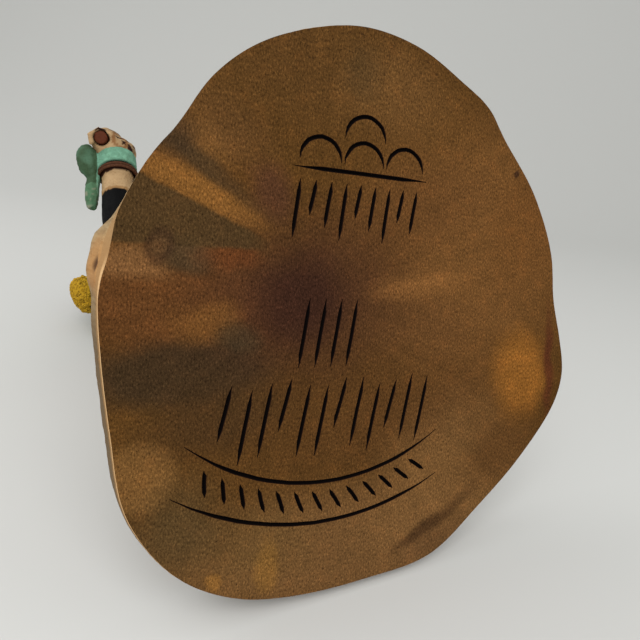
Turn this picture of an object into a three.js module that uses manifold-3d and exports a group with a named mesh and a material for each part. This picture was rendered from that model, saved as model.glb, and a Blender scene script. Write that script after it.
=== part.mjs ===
// A carved and painted cottonwood dancer on an oval slice of cottonwood root.
// Millimetres, +Z up. The dancer faces -Y, and its right hand is on the -X side.
// The origin is under the middle of the slab.

import * as THREE from 'three';
import { mergeVertices } from 'three/addons/utils/BufferGeometryUtils.js';
import Module from 'manifold-3d';

const wasm = await Module();
wasm.setup();

// Slab
const SLAB_ACROSS = 152.8;
const SLAB_THICK = 16;
const SLAB_STEPS = 100;
const EDGE_ROUND = 1.4;
const KNOT_BULGE = 2.6;
const KNOT_BEARING = 191.7;
const KNOT_SPREAD = 5.6;
const UNDERCUT = 2.8;
const UNDERCUT_BEARING = 222;
const UNDERCUT_SPREAD = 24;
const HALF_TURN = 180;

// Dancer
const FIGURE_HEIGHT = 242;
const FIGURE_X = -21.5;
const FIGURE_Y = -2;
const FIT_GAP = 0.3;

// Rattle
const HANDLE_RADIUS = 2.85;
const HANDLE_CLEARANCE = 0.3;
const HANDLE_BELOW = 7.5;
const HANDLE_ABOVE = 13;
const GOURD_RADIUS = 6.8;
const HANDLE_TO_KNUCKLES = 4.2;

// Wrist ties and the cord wound below them
const TIE_WALL = 1.8;
const TIE_WIDTH = 7;
const CORD_RADIUS = 1.3;
const CORD_WIDTH = 3.6;

// Roundels at the sides of the mask
const TUFT_RADIUS = 11;
const TUFT_HALF_DEPTH = 7.5;
const TUFT_SEAT = 0.9;
const TUFT_ANGLE_BACK = 23;
const TUFT_LOBES = 11;

// Number of sides and rings in the carved forms
const SIDES = 10;
const RINGS = 7;
const TURNED_SIDES = 16;

// Shares of the dancer's height, in hundredths
const unit = FIGURE_HEIGHT / 100;
const HEM = 23;
const WAIST = 48;
const NECK = 75;
const EAR_LEVEL = NECK + 10;
const EYE_LEVEL = NECK + 13.4;
const EYE_APART = 4.2;
const MASK_RADIUS = 11.6;
const WRIST_RADIUS = 2.65;
const WRIST = [11.7, -20.7, 52.4];
const FIST = [12.1, -25.2, 54.2];
const RIGHT = -1;
const LEFT = 1;
const HANDLE_LEAN = new THREE.Vector3(0.297, -0.02, 0.954).normalize();
const FOREARM_LINE = new THREE.Vector3(0, -0.83, 0.555).normalize();
const AXIS_X = new THREE.Vector3(1, 0, 0);
const AXIS_Y = new THREE.Vector3(0, 1, 0);
const AXIS_Z = new THREE.Vector3(0, 0, 1);

// The slab's outline, front edge first, then round by the dancer's left side
const SLAB_OUTLINE = [
  [-9.5, -76.4], [7.5, -74.6], [22.8, -68.3], [33.5, -62.6], [40, -55.1], [54.3, -39.9], [64.2, -22],
  [67.4, -6.7], [72.3, 7.4], [74.6, 18], [71.8, 28.6], [58.2, 45.7], [42, 59.9], [24, 72.8],
  [0.6, 76.1], [-22.6, 76.4], [-39.5, 73.3], [-54.9, 64.5], [-67.3, 47.3], [-71.6, 25.5],
  [-74.3, 2.2], [-74.4, -7.2], [-72.8, -13.4], [-71.8, -18.8],
  [-70.6, -24.4], [-64, -37.2], [-58, -45], [-50.2, -57], [-39.5, -66.3],
  [-24.7, -73.1],
];

// A point given in hundredths of the dancer's height, mirrored for the left side
function at(x, y, z, side = RIGHT) {
  return new THREE.Vector3(x * side, y, z).multiplyScalar(unit);
}

// A closed geometry through rings of points, with its faces turned outwards
function skin(rings) {
  const count = rings[0].length;
  const middle = (ring) => ring.reduce((sum, p) => sum.add(p), new THREE.Vector3()).divideScalar(count);
  const points = [...rings.flat(), middle(rings[0]), middle(rings.at(-1))];
  const startTip = points.length - 2;
  const endTip = points.length - 1;
  const lastRing = (rings.length - 1) * count;
  const faces = [];
  for (let i = 0; i < count; i += 1) {
    const next = (i + 1) % count;
    faces.push([startTip, next, i]);
    faces.push([endTip, lastRing + i, lastRing + next]);
    for (let base = 0; base < lastRing; base += count) {
      faces.push([base + i, base + next, base + count + next]);
      faces.push([base + i, base + count + next, base + count + i]);
    }
  }
  const volume = faces.reduce((sum, [a, b, c]) => (
    sum + points[a].dot(points[b].clone().cross(points[c]))), 0);
  const outwards = volume < 0 ? faces.map(([a, b, c]) => [a, c, b]) : faces;
  const geometry = new THREE.BufferGeometry();
  geometry.setAttribute('position', new THREE.Float32BufferAttribute(points.flatMap((p) => p.toArray()), 3));
  geometry.setIndex(outwards.flat());
  return geometry;
}

// A solid for joining and cutting
function solid(geometry) {
  const bare = geometry.clone();
  bare.deleteAttribute('normal');
  bare.deleteAttribute('uv');
  const merged = mergeVertices(bare, 1e-4);
  return new wasm.Manifold(new wasm.Mesh({
    numProp: 3,
    vertProperties: new Float32Array(merged.attributes.position.array),
    triVerts: new Uint32Array(merged.index.array),
  }));
}

function joined(solids) {
  return solids.reduce((all, next) => all.add(next));
}

// A rounded form carved along a smooth line. Each station is a place with its half width and
// half depth, all in hundredths of the height, and grow adds millimetres all round.
function limb(stations, options = {}) {
  const { side = 1, sides = SIDES, rings = RINGS, across = AXIS_X, grow = 0, ripple = () => 1 } = options;
  const line = new THREE.CatmullRomCurve3(stations.map(([x, y, z]) => at(x, y, z, side)));
  const girth = new THREE.CatmullRomCurve3(stations.map(([, , , wide, deep]) => (
    new THREE.Vector3(wide * unit + grow, deep * unit + grow, 0))));
  const sections = [];
  for (let ring = 0; ring <= rings; ring += 1) {
    const t = ring / rings;
    const centre = line.getPoint(t);
    const along = line.getTangent(t);
    const size = girth.getPoint(t);
    const wideWay = across.clone().addScaledVector(along, -across.dot(along)).normalize();
    const deepWay = along.clone().cross(wideWay);
    const section = [];
    for (let i = 0; i < sides; i += 1) {
      const angle = (2 * Math.PI * i) / sides;
      const reach = ripple(angle, t);
      section.push(centre.clone()
        .addScaledVector(wideWay, size.x * reach * Math.cos(angle))
        .addScaledVector(deepWay, size.y * reach * Math.sin(angle)));
    }
    sections.push(section);
  }
  return solid(skin(sections));
}

// A ring round the neck, a wrist or the waist, its own radius varied by swell
function hoop({ centre, axis, wide, deep, tube, tall, steps, around, swell = () => 1 }) {
  const turn = new THREE.Quaternion().setFromUnitVectors(AXIS_Z, axis);
  const points = [];
  const faces = [];
  for (let i = 0; i < steps; i += 1) {
    const angle = (2 * Math.PI * i) / steps;
    for (let j = 0; j < around; j += 1) {
      const roll = (2 * Math.PI * j) / around;
      const out = tube * swell(angle) * Math.cos(roll);
      const point = new THREE.Vector3(
        (wide + out) * Math.cos(angle), (deep + out) * Math.sin(angle), tall * swell(angle) * Math.sin(roll));
      points.push(...point.applyQuaternion(turn).add(centre).toArray());
      const a = i * around + j;
      const b = ((i + 1) % steps) * around + j;
      const c = ((i + 1) % steps) * around + ((j + 1) % around);
      const d = i * around + ((j + 1) % around);
      faces.push(a, b, c, a, c, d);
    }
  }
  const geometry = new THREE.BufferGeometry();
  geometry.setAttribute('position', new THREE.Float32BufferAttribute(points, 3));
  geometry.setIndex(faces);
  return solid(geometry);
}

function ball(centre, radii, sides, rings) {
  const geometry = new THREE.SphereGeometry(1, sides, rings);
  geometry.scale(...radii);
  geometry.translate(...centre.toArray());
  return solid(geometry);
}

// A turned form, from its profile of radius and height, set along an axis
function turned(profile, sides, centre, axis) {
  const geometry = new THREE.LatheGeometry(profile.map(([r, h]) => new THREE.Vector2(r, h)), sides);
  geometry.applyQuaternion(new THREE.Quaternion().setFromUnitVectors(AXIS_Y, axis));
  geometry.translate(...centre.toArray());
  return solid(geometry);
}

function block(centre, size) {
  const geometry = new THREE.BoxGeometry(...size);
  geometry.translate(...centre.toArray());
  return solid(geometry);
}

// One at a bearing round the slab, falling away over a spread of degrees to both sides
function nearBearing(point, bearing, spread, steepness) {
  const pointBearing = THREE.MathUtils.radToDeg(Math.atan2(point.y, point.x));
  const off = THREE.MathUtils.euclideanModulo(pointBearing - bearing + HALF_TURN, 2 * HALF_TURN) - HALF_TURN;
  return Math.exp(-(Math.abs(off / spread) ** steepness));
}

// The slab: its outline from the underside up, rounded at both edges, with one low knot at the side
// and a stretch that is cut back towards the top
function slab() {
  const spans = SLAB_OUTLINE.map(([, y]) => y);
  const scale = SLAB_ACROSS / (Math.max(...spans) - Math.min(...spans));
  const edge = new THREE.CatmullRomCurve3(
    SLAB_OUTLINE.map(([x, y]) => new THREE.Vector3(x * scale, y * scale, 0)), true);
  const levels = [
    { height: 0, out: 0, knot: 0 },
    { height: EDGE_ROUND, out: 0.4, knot: 0.5 },
    { height: SLAB_THICK * 0.6, out: 0.3, knot: 1 },
    { height: SLAB_THICK - EDGE_ROUND, out: -0.2, knot: 0.8 },
    { height: SLAB_THICK, out: -1.3, knot: 0.5 },
  ];
  const rings = levels.map(({ height, out, knot }) => {
    const ring = [];
    for (let i = 0; i < SLAB_STEPS; i += 1) {
      const t = i / SLAB_STEPS;
      const point = edge.getPointAt(t);
      const way = edge.getTangentAt(t).cross(AXIS_Z);
      const bulge = KNOT_BULGE * nearBearing(point, KNOT_BEARING, KNOT_SPREAD, 4);
      const cutBack = nearBearing(point, UNDERCUT_BEARING, UNDERCUT_SPREAD, 8);
      const inset = UNDERCUT * (height / SLAB_THICK) * cutBack;
      ring.push(point.addScaledVector(way, out * (1 - cutBack) + knot * bulge - inset).setZ(height));
    }
    return ring;
  });
  return solid(skin(rings));
}

function moccasin(side) {
  return limb([
    [4.3, 4.3, 1.6, 1.2, 1.3], [4.3, 3.1, 1.9, 2.4, 2.3], [4.4, -0.5, 2.2, 2.7, 2.7],
    [4.7, -4.8, 1.7, 3.1, 2.2], [5.0, -8.6, 1.3, 2.7, 1.6], [5.1, -10.4, 0.9, 1.1, 0.9],
  ], { side, rings: 6 });
}

function moccasinCuff(side) {
  return limb([
    [4.4, 0.9, 5.2, 2.7, 2.9], [4.4, 0.9, 5.8, 3.4, 3.6], [4.5, 0.9, 7.6, 3.7, 3.9], [4.5, 0.9, 8.2, 2.8, 3.0],
  ], { side, rings: 3 });
}

function leg(side) {
  return limb([
    [4.3, 0.9, 1.5, 2.4, 2.6], [4.4, 0.9, 6, 2.5, 2.7], [4.5, 1.1, 11, 3.2, 3.6], [4.7, 0.6, 15, 3.1, 3.4],
    [4.8, -0.5, 18.8, 3.4, 3.5], [4.7, 0, 22, 3.8, 3.9], [4.6, 0.3, 28, 4.2, 4.4],
  ], { side });
}

// The kilt widens to the hem, where shallow pleats open, and its free edge overlaps at the right
function kilt() {
  const pleats = (angle, t) => 1 + 0.035 * (1 - t) * Math.cos(9 * angle);
  const wrap = limb([
    [0, 0, HEM, 10.9, 8.8], [0, 0, 27, 10.5, 8.4], [0, 0, 34, 9.6, 7.6], [0, 0, 41, 8.4, 6.6], [0, 0, WAIST, 7.2, 5.6],
  ], { sides: 27, rings: 3, ripple: pleats });
  const freeEdge = limb([
    [-7.0, -6.4, HEM, 1.5, 0.8], [-6.6, -5.9, 30, 1.5, 0.8], [-5.8, -5.0, 39, 1.4, 0.8], [-5.0, -4.0, WAIST, 1.2, 0.8],
  ], { sides: 6, rings: 4, across: new THREE.Vector3(0.78, -0.62, 0) });
  return [wrap, freeEdge];
}

function belt() {
  return hoop({
    centre: at(0, 0, WAIST), axis: AXIS_Z, wide: 6.9 * unit, deep: 5.3 * unit,
    tube: 0.9 * unit, tall: 1.7 * unit, steps: 18, around: 5,
  });
}

// The sash hangs from the belt at the right hip and ends in a fringe
function sash() {
  const panel = limb([
    [7.2, 0, WAIST, 2.0, 1.0], [9.0, 0, 40, 2.4, 1.1], [10.6, 0, 31, 2.7, 1.0], [11.6, 0, 22, 2.9, 0.9],
  ], { side: RIGHT, sides: 6, rings: 4, across: AXIS_Y });
  const strands = [-1.5, -0.5, 0.5, 1.5].map((place) => limb([
    [11.5, place * 1.3, 23, 0.6, 0.6], [11.8, place * 1.4, 19, 0.6, 0.55], [11.9, place * 1.5, 15.5, 0.25, 0.25],
  ], { side: RIGHT, sides: 4, rings: 2, across: AXIS_Y }));
  return [panel, ...strands];
}

// The pelt hangs from the belt at the back, narrow below the hips and bushy at the tail
function pelt() {
  const tufts = (angle, t) => 1 + 0.09 * Math.cos(5 * angle) * Math.sin(9 * Math.PI * t);
  return limb([
    [0, 4.4, 48.5, 1.6, 1.0], [0, 6.8, 43, 2.9, 1.5], [0, 8.4, 34, 2.4, 1.5], [0, 9.7, 25, 1.9, 1.5],
    [0, 10.2, 18, 2.7, 2.3], [0, 10.0, 12.5, 2.2, 2.0], [0, 9.6, 9, 0.5, 0.5],
  ], { sides: 10, rings: 7, ripple: tufts });
}

// A height on the trunk, as a share of the way from the waist to the neck
function upTrunk(share) {
  return WAIST + (NECK - WAIST) * share;
}

function torso() {
  return limb([
    [0, 0, WAIST - 3, 6.9, 5.4], [0, 0, upTrunk(0.15), 6.8, 5.4], [0, -0.3, upTrunk(0.37), 8.0, 6.1],
    [0, -0.3, upTrunk(0.59), 9.6, 6.5], [0, 0.2, upTrunk(0.78), 9.4, 5.8], [0, 0.4, upTrunk(0.91), 7.0, 5.0],
    [0, 0.4, NECK + 1, 4.6, 4.4],
  ], { sides: 14, rings: 6 });
}

function upperArm(side) {
  return limb([
    [8.4, 0.5, upTrunk(0.83), 1.6, 1.8], [10.1, 0.5, upTrunk(0.72), 3.5, 3.8],
    [11.2, 0.2, upTrunk(0.44), 3.6, 3.8], [11.7, -1.3, upTrunk(0.07), 3.0, 3.3],
    [12.0, -3.2, 43.4, 3.0, 3.1], [12.0, -4.0, 39.4, 1.8, 1.9],
  ], { side });
}

function forearm(side, grow = 0) {
  return limb([
    [12.0, -1.4, 39.6, 1.5, 1.5], [12.0, -3.8, 41.4, 2.8, 2.8], [12.1, -9, 44.9, 3.0, 3.0],
    [12.1, -13.6, 47.8, 2.8, 2.8], [11.9, -18, 50.7, WRIST_RADIUS, WRIST_RADIUS],
    [...WRIST, WRIST_RADIUS, WRIST_RADIUS], [11.9, -23.2, 53.7, 2.7, 2.7], [...FIST, 1.4, 1.4],
  ], { side, rings: 8, grow });
}

// The cord is wound round the forearm, close under the tie
function woundCord(side, grow = 0) {
  const wrist = at(...WRIST, side);
  return hoop({
    centre: wrist.clone().addScaledVector(FOREARM_LINE, -(TIE_WIDTH / 2 + FIT_GAP + CORD_WIDTH / 2)),
    axis: FOREARM_LINE, wide: WRIST_RADIUS * unit, deep: WRIST_RADIUS * unit,
    tube: CORD_RADIUS + grow, tall: CORD_WIDTH / 2 + grow, steps: 12, around: 5,
  });
}

// A closed hand: the palm, four fingers one above the other round the grip, and the thumb
function fist(side, grow = 0) {
  const centre = at(...FIST, side);
  const grip = HANDLE_LEAN.clone();
  grip.x *= -side;
  const carry = ([x, y], up) => {
    const point = at(x, y, 0, side).addScaledVector(grip, up * unit).add(centre).divideScalar(unit);
    return [point.x * side, point.y, point.z];
  };
  const palmRadii = [3.9 * unit + grow, 2.6 * unit + grow, 3.5 * unit + grow];
  const palm = ball(at(-0.1, 1.6, 0, side).add(centre), palmRadii, 10, 6);
  const curl = [[3.2, 1.5], [3.7, 0.1], [2.9, -1.1], [1.2, -1.4], [-0.2, -0.5], [-1.5, 0.9]];
  const fingers = [-2.7, -1.15, 0.4, 1.95].map((up, index) => limb(
    curl.map((place, joint) => {
      const thick = joint === curl.length - 1 ? 0.5 : 0.66 + 0.05 * index;
      const shorter = [place[0] - 0.1 * index, place[1] - 0.2 * index];
      return [...carry(shorter, up), thick, thick];
    }),
    { side, sides: 6, rings: 4, across: AXIS_Z, grow },
  ));
  const thumb = limb([
    [...carry([-1.8, 4.6], -0.6), 0.9, 0.9], [...carry([-2.9, 3.0], 0.4), 1.15, 1.15],
    [...carry([-3.1, 1.2], 1.4), 1.1, 1.1], [...carry([-2.2, -0.4], 2.4), 0.6, 0.6],
  ], { side, sides: 6, rings: 4, across: AXIS_Z, grow });
  return [palm, thumb, ...fingers];
}

// The ruff is a thick twist, so it swells and narrows along its round
function ruff() {
  return hoop({
    centre: at(0, 0, NECK), axis: AXIS_Z, wide: 8.4 * unit, deep: 8.1 * unit,
    tube: 3.1 * unit, tall: 2.7 * unit, steps: 24, around: 5, swell: (angle) => 1 + 0.1 * Math.cos(8 * angle),
  });
}

// The helmet mask, straight at the sides and domed above, and the same form a little larger
function helmet(grow = 0) {
  return limb([
    [0, 0, NECK, 0.74 * MASK_RADIUS, 0.74 * MASK_RADIUS], [0, 0, NECK + 2, 0.9 * MASK_RADIUS, 0.9 * MASK_RADIUS],
    [0, 0, NECK + 5.5, MASK_RADIUS, MASK_RADIUS], [0, 0, NECK + 11, MASK_RADIUS, MASK_RADIUS],
    [0, 0, NECK + 16, 0.96 * MASK_RADIUS, 0.96 * MASK_RADIUS],
    [0, 0, NECK + 20.5, 0.8 * MASK_RADIUS, 0.8 * MASK_RADIUS],
    [0, 0, NECK + 23.6, 0.48 * MASK_RADIUS, 0.48 * MASK_RADIUS],
    [0, 0, NECK + 25, 0.07 * MASK_RADIUS, 0.07 * MASK_RADIUS],
  ], { sides: 16, rings: 8, grow });
}

function snout() {
  return limb([
    [0, 2.2 - MASK_RADIUS, NECK + 7.6, 2.6, 2.2], [0, -0.8 - MASK_RADIUS, NECK + 7.2, 2.2, 1.9],
    [0, -3.4 - MASK_RADIUS, NECK + 6.8, 2.3, 2.0], [0, -4.0 - MASK_RADIUS, NECK + 6.7, 1.9, 1.6],
  ], { rings: 4 });
}

function eyeSlits() {
  const depth = 1.2 * unit;
  return [RIGHT, LEFT].map((side) => block(
    at(EYE_APART, -MASK_RADIUS * 0.93, EYE_LEVEL, side), [3.2 * unit, depth, 1.1 * unit]));
}

// Three short feathers stand in a fan at the back of the crown
function crest() {
  return [-1, 0, 1].map((place) => limb([
    [place * 1.4, 4.6, NECK + 19, 0.8, 0.5], [place * 2.6, 5.6, NECK + 23.5, 1.4, 0.45],
    [place * 4.4, 6.6, NECK + 29, 1.7, 0.45], [place * 5.6, 7.0, NECK + 32.4, 1.2, 0.4],
    [place * 6.0, 7.1, NECK + 33.6, 0.3, 0.25],
  ], { sides: 6, rings: 4 }));
}

function handleStart() {
  return at(...FIST).addScaledVector(AXIS_X, -HANDLE_TO_KNUCKLES).addScaledVector(HANDLE_LEAN, -HANDLE_BELOW);
}

// The whole carved dancer, flat under its soles and bored through the right fist
function dancer() {
  const forms = [torso(), belt(), pelt(), ruff(), helmet(), snout(), ...kilt(), ...sash(), ...crest()];
  for (const side of [RIGHT, LEFT]) {
    forms.push(moccasin(side), moccasinCuff(side), leg(side), upperArm(side), forearm(side));
    forms.push(woundCord(side), ...fist(side));
  }
  const reach = HANDLE_BELOW + HANDLE_ABOVE;
  const bore = HANDLE_RADIUS + HANDLE_CLEARANCE;
  const grip = turned(
    [[0, -reach], [bore, -reach], [bore, 2 * reach], [0, 2 * reach]], TURNED_SIDES, handleStart(), HANDLE_LEAN);
  const ground = block(
    new THREE.Vector3(0, 0, -FIGURE_HEIGHT / 2), [FIGURE_HEIGHT, FIGURE_HEIGHT, FIGURE_HEIGHT]);
  return joined(forms).subtract(grip).subtract(ground).subtract(joined(eyeSlits()));
}

// The rattle: a round stick with a small gourd on its upper end
function rattle() {
  const length = HANDLE_BELOW + HANDLE_ABOVE;
  const profile = [[0, 0], [HANDLE_RADIUS, 0], [HANDLE_RADIUS, length]];
  const steps = 6;
  const startAngle = Math.asin(HANDLE_RADIUS / GOURD_RADIUS);
  const gourdMiddle = length + GOURD_RADIUS * Math.cos(startAngle);
  for (let i = 1; i <= steps; i += 1) {
    const angle = startAngle + ((Math.PI - startAngle) * i) / steps;
    const radius = i === steps ? 0 : GOURD_RADIUS * Math.sin(angle);
    profile.push([radius, gourdMiddle - GOURD_RADIUS * Math.cos(angle)]);
  }
  return turned(profile, TURNED_SIDES, handleStart(), HANDLE_LEAN);
}

// A band round the wrist with a carved knot at its outer side and one tail hanging back
function wristTie(side) {
  const wrist = at(...WRIST, side);
  const inner = WRIST_RADIUS * unit + FIT_GAP;
  const outer = inner + TIE_WALL;
  const half = TIE_WIDTH / 2;
  const band = turned(
    [[0, -half], [outer, -half], [outer, half], [0, half]], TURNED_SIDES, wrist, FOREARM_LINE);
  const knotWay = new THREE.Vector3(0.16 * side, -0.84, 0.5).normalize();
  const knot = new THREE.IcosahedronGeometry(1, 1);
  knot.scale(2.2 * unit, 1.9 * unit, 3.8 * unit);
  knot.applyQuaternion(new THREE.Quaternion().setFromUnitVectors(AXIS_Z, knotWay));
  knot.translate(...at(4.7, -0.1, 0.5, side).add(wrist).toArray());
  const [x, y, z] = WRIST;
  const tail = limb([
    [x + 2.9, y + 0.2, z + 0.2, 0.9, 1.0], [x + 4.1, y + 3.2, z - 0.9, 1.25, 1.4],
    [x + 4.5, y + 6.6, z - 2.3, 1.25, 1.4], [x + 4.5, y + 8.4, z - 3.1, 0.75, 0.8],
  ], { side, sides: 7, rings: 5 });
  return joined([band, solid(knot), tail])
    .subtract(joined([forearm(side, FIT_GAP), woundCord(side, FIT_GAP), ...fist(side, FIT_GAP)]));
}

// A thick roundel with a scalloped rim, hollowed at the back where it lies on the mask
function earTuft(side) {
  const back = THREE.MathUtils.degToRad(TUFT_ANGLE_BACK);
  const outward = new THREE.Vector3(side * Math.cos(back), Math.sin(back), 0);
  const distance = MASK_RADIUS * unit + TUFT_HALF_DEPTH - TUFT_SEAT;
  const centre = at(0, 0, EAR_LEVEL).addScaledVector(outward, distance);
  const turn = new THREE.Quaternion().setFromUnitVectors(AXIS_Z, outward);
  const rings = [];
  const steps = 5;
  for (let i = 0; i <= steps; i += 1) {
    const slope = -Math.PI / 2 + (Math.PI * (i + 0.35)) / (steps + 0.7);
    const ring = [];
    for (let j = 0; j < 2 * TUFT_LOBES; j += 1) {
      const angle = (Math.PI * j) / TUFT_LOBES;
      const scallop = 1 - (j % 2) * 0.06;
      const radius = TUFT_RADIUS * scallop * Math.cos(slope) ** 0.6;
      ring.push(new THREE.Vector3(
        radius * Math.cos(angle), radius * Math.sin(angle), TUFT_HALF_DEPTH * Math.sin(slope))
        .applyQuaternion(turn).add(centre));
    }
    rings.push(ring);
  }
  return solid(skin(rings)).subtract(helmet(FIT_GAP));
}

function paint(color, roughness) {
  return new THREE.MeshStandardMaterial({ color, roughness, metalness: 0 });
}

function piece(name, form, material) {
  const { vertProperties, triVerts } = form.getMesh();
  const geometry = new THREE.BufferGeometry();
  geometry.setAttribute('position', new THREE.Float32BufferAttribute(vertProperties, 3));
  geometry.setIndex(Array.from(triVerts));
  geometry.computeVertexNormals();
  const mesh = new THREE.Mesh(geometry, material);
  mesh.name = name;
  return mesh;
}

const bareWood = paint(0x6f4526, 0.75);
const bodyPaint = paint(0xb98a5e, 0.7);
const handleRed = paint(0x6a2f20, 0.6);
const tieGreen = paint(0x3f8f78, 0.65);
const tuftYellow = paint(0xc79f1e, 0.85);

const stand = piece('base', slab(), bareWood);

const dancing = new THREE.Group();
dancing.position.set(FIGURE_X, FIGURE_Y, SLAB_THICK + FIT_GAP);
dancing.add(
  piece('figure', dancer(), bodyPaint),
  piece('rattle', rattle(), handleRed),
  piece('wrist_tie_right', wristTie(RIGHT), tieGreen),
  piece('wrist_tie_left', wristTie(LEFT), tieGreen),
  piece('ear_tuft_right', earTuft(RIGHT), tuftYellow),
  piece('ear_tuft_left', earTuft(LEFT), tuftYellow),
);

// The slab's middle comes to the origin
const kachina = new THREE.Group();
kachina.add(stand, dancing);
const slabMiddle = new THREE.Box3().setFromObject(stand).getCenter(new THREE.Vector3());
kachina.position.set(-slabMiddle.x, -slabMiddle.y, 0);
kachina.updateMatrixWorld(true);

export default kachina;
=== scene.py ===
# A carved and painted cottonwood dancer on an oval slice of root, seen from below.
# Metres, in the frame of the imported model. Sizes named _MM are in millimetres.

import math

import bmesh
import bpy
import numpy as np
from mathutils import Matrix, Vector, noise


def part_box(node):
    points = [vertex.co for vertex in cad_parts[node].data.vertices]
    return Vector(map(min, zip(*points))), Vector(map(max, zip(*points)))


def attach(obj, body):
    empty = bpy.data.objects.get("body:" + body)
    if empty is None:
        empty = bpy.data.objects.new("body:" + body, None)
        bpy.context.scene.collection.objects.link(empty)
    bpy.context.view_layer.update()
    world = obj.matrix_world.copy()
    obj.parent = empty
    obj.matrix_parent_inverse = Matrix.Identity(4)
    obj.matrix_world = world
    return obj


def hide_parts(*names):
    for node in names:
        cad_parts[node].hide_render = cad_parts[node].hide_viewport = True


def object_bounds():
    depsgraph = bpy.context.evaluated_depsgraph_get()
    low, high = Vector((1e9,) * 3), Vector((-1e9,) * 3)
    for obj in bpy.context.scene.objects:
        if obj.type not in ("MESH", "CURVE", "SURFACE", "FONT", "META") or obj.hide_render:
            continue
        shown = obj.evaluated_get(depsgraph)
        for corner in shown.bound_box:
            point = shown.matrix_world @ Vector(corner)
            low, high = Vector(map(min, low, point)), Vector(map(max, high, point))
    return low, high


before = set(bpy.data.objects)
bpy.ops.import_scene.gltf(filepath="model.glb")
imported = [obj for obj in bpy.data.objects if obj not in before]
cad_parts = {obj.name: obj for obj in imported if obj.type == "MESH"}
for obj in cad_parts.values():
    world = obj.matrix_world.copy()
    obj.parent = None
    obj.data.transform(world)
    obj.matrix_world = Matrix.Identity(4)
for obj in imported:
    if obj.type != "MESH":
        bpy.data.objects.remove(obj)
cad_low, cad_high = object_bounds()

MM = 0.001

# Camera: a phone held under the slab, looking up along the dancer
CAMERA_PLACE_MM = (-91.35, -16.9, -140.2)
CAMERA_LOOK = Vector((0.459, 0.1045, 0.8823))
CAMERA_UP = Vector((0.0, -0.9931, 0.1176))
SENSOR_MM = 36.0
FOCAL_MM = 33.75
NEAR_CLIP_M = 0.01

# The pale sheet that the doll lies on, which sweeps up behind it, and the lights above it
GROUND_POINT_MM = (11.6, 75.2, 14.6)
GROUND_NORMAL = Vector((-0.0681, -0.9723, -0.2234))
SWEEP_NEAR_M = 0.4
SWEEP_FAR_M = 0.6
SWEEP_RADIUS_M = 0.8
SWEEP_WALL_M = 2.5
SWEEP_HALF_M = 3.0
SWEEP_STEPS = 20
SHEET_COLOUR = (0.60, 0.60, 0.585)
SKY_COLOUR = (0.75, 0.755, 0.74)
SKY_STRENGTH = 1.0
KEY_DISTANCE_M = 0.9
KEY_SIZE_M = 0.7
KEY_POWER_W = 5.0
KEY_WAY = (-0.32, -0.42, -0.85)
FILL_POWER_W = 2.0
FILL_WAY = (-0.7, -0.8, 0.3)

# Dancer. Sizes without _MM are hundredths of its height, from the middle between its soles.
FIGURE_HEIGHT_MM = 242.0
FIGURE_X_MM = -21.03
FIGURE_Y_MM = -2.15
SOLE_GAP_MM = 0.3
UNIT_MM = FIGURE_HEIGHT_MM / 100
WRIST = (11.7, -20.7, 52.4)
FIST = (12.1, -25.2, 54.2)
FOREARM_LINE = np.array((0.0, -0.83, 0.555)) / math.hypot(0.83, 0.555)
GRIP_LINE = np.array((0.297, -0.02, 0.954))

# Slab
SLAB_AROUND = 420
SLAB_LEVELS = 18


def colour(red, green, blue):
    """A colour named by its eye values from 0 to 255, as linear light."""
    def linear(value):
        share = value / 255
        return share / 12.92 if share <= 0.04045 else ((share + 0.055) / 1.055) ** 2.4
    return (linear(red), linear(green), linear(blue), 1.0)


def pigment(red, green, blue):
    """The same colour as three numbers, for painting points."""
    return np.array(colour(red, green, blue)[:3])


# Camera and stage


def place_camera():
    data = bpy.data.cameras.new("view")
    data.sensor_width = SENSOR_MM
    data.lens = FOCAL_MM
    data.clip_start = NEAR_CLIP_M
    camera = bpy.data.objects.new("view", data)
    bpy.context.scene.collection.objects.link(camera)
    back = -CAMERA_LOOK.normalized()
    right = CAMERA_UP.cross(back).normalized()
    up = back.cross(right)
    turn = Matrix((right, up, back)).transposed().to_4x4()
    camera.matrix_world = Matrix.Translation(Vector(CAMERA_PLACE_MM) * MM) @ turn
    bpy.context.scene.camera = camera


def develop():
    """Plain development, so that paint and stain keep the strength of the photo's colours."""
    bpy.context.scene.view_settings.view_transform = "Standard"


def light(name, towards, distance, size, power):
    """A soft square lamp at a distance along a direction from the doll's middle."""
    data = bpy.data.lights.new(name, "AREA")
    data.size = size
    data.energy = power
    lamp = bpy.data.objects.new(name, data)
    bpy.context.scene.collection.objects.link(lamp)
    middle = (cad_low + cad_high) / 2
    way = Vector(towards).normalized()
    lamp.location = middle + way * distance
    lamp.rotation_euler = way.to_track_quat("Z", "Y").to_euler()


def stage_material():
    """A pale sheet that shows only from the side that the doll lies on."""
    material = bpy.data.materials.new("pale_sheet")
    material.use_nodes = True
    nodes = material.node_tree.nodes
    links = material.node_tree.links
    nodes.clear()
    sheet = nodes.new("ShaderNodeBsdfDiffuse")
    sheet.inputs["Color"].default_value = (*SHEET_COLOUR, 1)
    clear = nodes.new("ShaderNodeBsdfTransparent")
    side = nodes.new("ShaderNodeNewGeometry")
    mix = nodes.new("ShaderNodeMixShader")
    out = nodes.new("ShaderNodeOutputMaterial")
    links.new(side.outputs["Backfacing"], mix.inputs["Fac"])
    links.new(sheet.outputs["BSDF"], mix.inputs[1])
    links.new(clear.outputs["BSDF"], mix.inputs[2])
    links.new(mix.outputs["Shader"], out.inputs["Surface"])
    return material


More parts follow.
